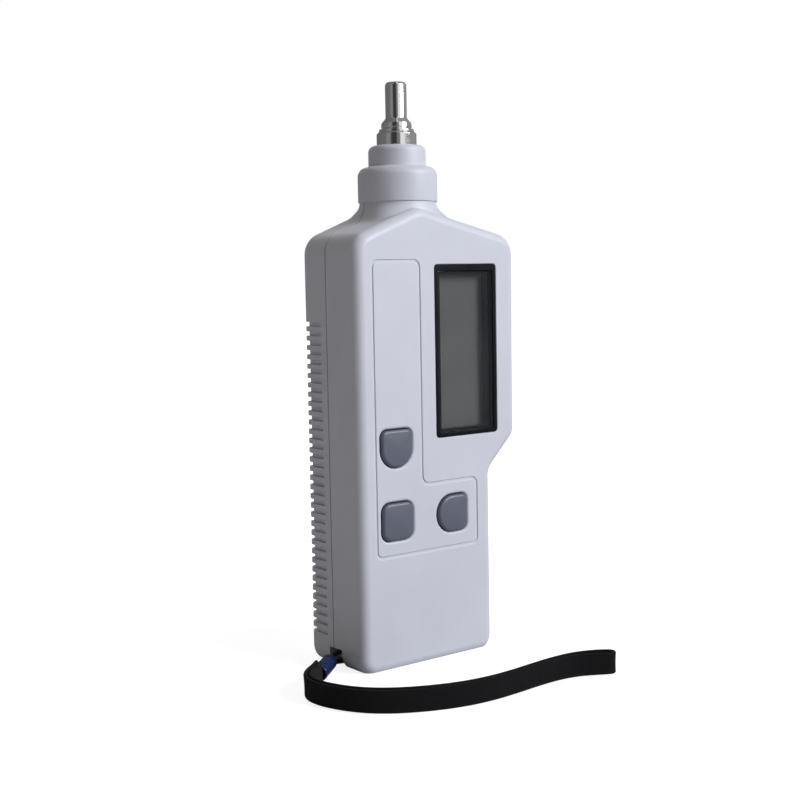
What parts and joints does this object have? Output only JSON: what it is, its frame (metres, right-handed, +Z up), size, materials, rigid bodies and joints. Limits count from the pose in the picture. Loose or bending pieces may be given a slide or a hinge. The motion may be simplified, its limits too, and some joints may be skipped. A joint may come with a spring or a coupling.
{
  "type": "handheld vibration meter",
  "caption": "Handheld vibration meter: moulded case with a contact probe on its neck, a display, key pads and a wrist strap.",
  "frame": {"origin": "middle of the base, on the surface that the meter stands on", "axes": "+Z up along the probe, +X to the right as seen from the display side, +Y from the display to the back"},
  "size_m": [0.0924, 0.0793, 0.185],
  "materials": {
    "shell": "pale grey moulded plastic, satin, very fine grain",
    "bezel": "black, glossy",
    "window": "clear window, polished",
    "display": "liquid crystal display, switched off, grey",
    "holder": "off-white moulded plastic",
    "strips": "silicone rubber",
    "keys": "dark blue-grey keys, satin gloss",
    "black_plastic": "black moulded plastic",
    "tinned": "tinned steel",
    "board": "green printed circuit board",
    "trimmer": "blue moulded plastic",
    "steel": "turned stainless steel, bright",
    "screws": "zinc-plated steel",
    "ceramic": "piezo ceramic, silvered",
    "leads": "insulated wire",
    "battery": "plain block battery",
    "foam": "foam pad",
    "strap": "black woven nylon",
    "sleeve": "dark blue sleeve"
  },
  "bodies": {
    "case": {"front_cover": "shell", "rear_cover": "shell", "display_bezel": "bezel", "display_window": "window", "display_glass": "display", "display_holder": "holder", "display_strips": "strips", "measure_switch": "tinned", "mode_switch": "tinned", "range_switch": "tinned", "main_board": "board", "processor_chip": "black_plastic", "amplifier_chips": "black_plastic", "crystal": "tinned", "trimmer": "trimmer", "capacitors": "black_plastic", "resistors": "black_plastic", "lead_socket": "holder", "probe_collar": "shell", "sensor_housing": "steel", "sensor_seal": "strips", "piezo_ring": "ceramic", "seismic_mass": "screws", "preload_nut": "screws", "sensor_lid": "black_plastic", "sensor_lead": "leads", "probe_tip": "steel", "battery": "battery", "battery_snap": "black_plastic", "battery_leads": "leads", "battery_pad": "foam", "case_screws": "screws", "board_screws": "screws", "lanyard_pin": "screws", "strap_cord": "strap", "strap_sleeve": "sleeve", "wrist_strap": "strap"},
    "measure_key": {"measure_button": "keys", "measure_plunger": "black_plastic"},
    "mode_key": {"mode_button": "keys", "mode_plunger": "black_plastic"},
    "range_key": {"range_button": "keys", "range_plunger": "black_plastic"},
    "door": {"battery_door": "shell"}
  },
  "joints": [
    {"name": "measure_press", "type": "slide", "parent": "case", "child": "measure_key", "axis": [0, 1, 0], "range_m": [0, 0.0006], "stiffness_N_per_m": 800},
    {"name": "mode_press", "type": "slide", "parent": "case", "child": "mode_key", "axis": [0, 1, 0], "range_m": [0, 0.0006], "stiffness_N_per_m": 800},
    {"name": "range_press", "type": "slide", "parent": "case", "child": "range_key", "axis": [0, 1, 0], "range_m": [0, 0.0006], "stiffness_N_per_m": 800},
    {"name": "door_tilt", "type": "hinge", "parent": "case", "child": "door", "pos_m": [-0.0057, 0.01487, 0.00573], "axis": [-1, 0, 0], "range_deg": [0, 30]}
  ]
}
